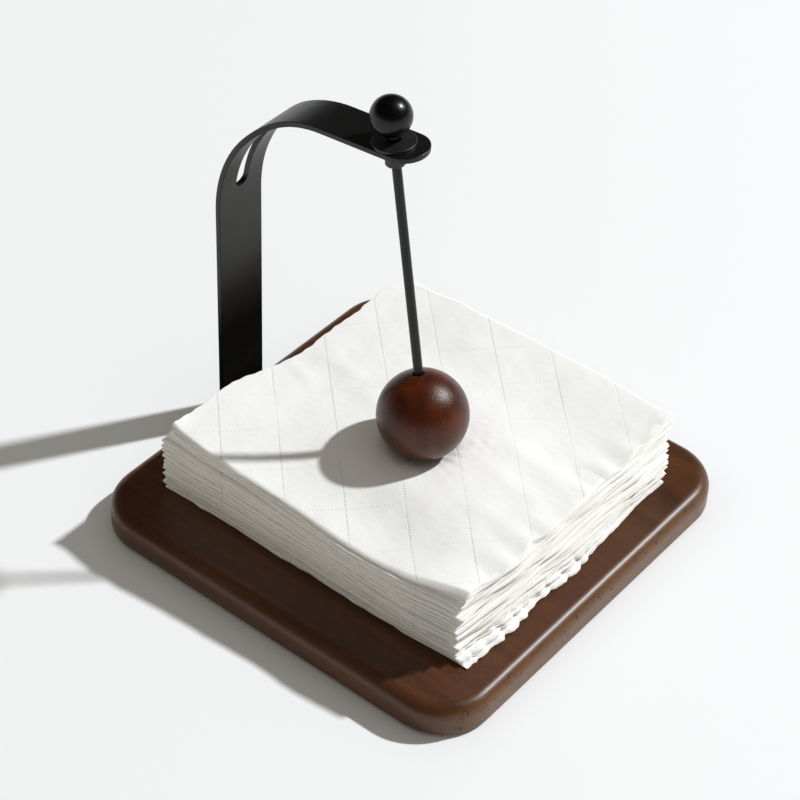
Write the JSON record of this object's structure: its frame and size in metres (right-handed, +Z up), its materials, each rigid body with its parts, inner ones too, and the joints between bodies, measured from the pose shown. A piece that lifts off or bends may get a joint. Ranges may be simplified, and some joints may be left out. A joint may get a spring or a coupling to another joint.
{
  "type": "napkin holder with weighted arm",
  "caption": "Flat wooden napkin holder: a bent steel arm carries a lifting rod with a wooden ball that weighs down a stack of folded paper napkins.",
  "frame": {"origin": "under the middle of the square board, at table level", "axes": "+Z up, +X from the steel upright towards the open front edge of the board, +Y across the arm"},
  "size_m": [0.2016, 0.2, 0.2079],
  "materials": {
    "walnut_board": "dark walnut stain under satin lacquer",
    "stained_ball": "reddish brown stain under gloss lacquer",
    "black_steel": "satin black powder coat",
    "black_rod": "satin black paint",
    "black_knob": "smooth black with a soft gloss",
    "black_bush": "black moulded nylon",
    "black_screw": "black oxide",
    "rubber_foot": "matte black",
    "white_paper": "white tissue with a dotted lattice embossed"
  },
  "bodies": {
    "stand": {"base_board": "walnut_board", "arm_strip": "black_steel", "left_arm_screw": "black_screw", "right_arm_screw": "black_screw", "front_left_foot": "rubber_foot", "front_right_foot": "rubber_foot", "back_right_foot": "rubber_foot", "back_left_foot": "rubber_foot"},
    "bush": {"swivel_bush": "black_bush"},
    "weight": {"weight_rod": "black_rod", "lifting_knob": "black_knob", "weight_ball": "stained_ball"},
    "napkin_stack": {"napkin_01": "white_paper", "napkin_02": "white_paper", "napkin_03": "white_paper", "napkin_04": "white_paper", "napkin_05": "white_paper", "napkin_06": "white_paper", "napkin_07": "white_paper", "napkin_08": "white_paper", "napkin_09": "white_paper", "napkin_10": "white_paper", "napkin_11": "white_paper", "napkin_12": "white_paper", "napkin_13": "white_paper", "napkin_14": "white_paper", "napkin_15": "white_paper", "napkin_16": "white_paper", "napkin_17": "white_paper", "napkin_18": "white_paper", "napkin_19": "white_paper"},
    "top_sheet": {"top_napkin": "white_paper"}
  },
  "joints": [
    {"name": "bush_tilt", "type": "hinge", "parent": "stand", "child": "bush", "pos_m": [-0.02462, 0.00364, 0.18799], "axis": [-0.522, -0.8514, -0.0503], "range_deg": [0, 12]},
    {"name": "rod_lift", "type": "slide", "parent": "bush", "child": "weight", "axis": [-0.2386, 0.0892, 0.967], "range_m": [0, 0.09]},
    {"name": "stack_pull", "type": "slide", "parent": "stand", "child": "napkin_stack", "axis": [1, 0, 0], "range_m": [0, 0.15]},
    {"name": "top_napkin_pull", "type": "slide", "parent": "napkin_stack", "child": "top_sheet", "axis": [1, 0, 0], "range_m": [0, 0.15]}
  ]
}
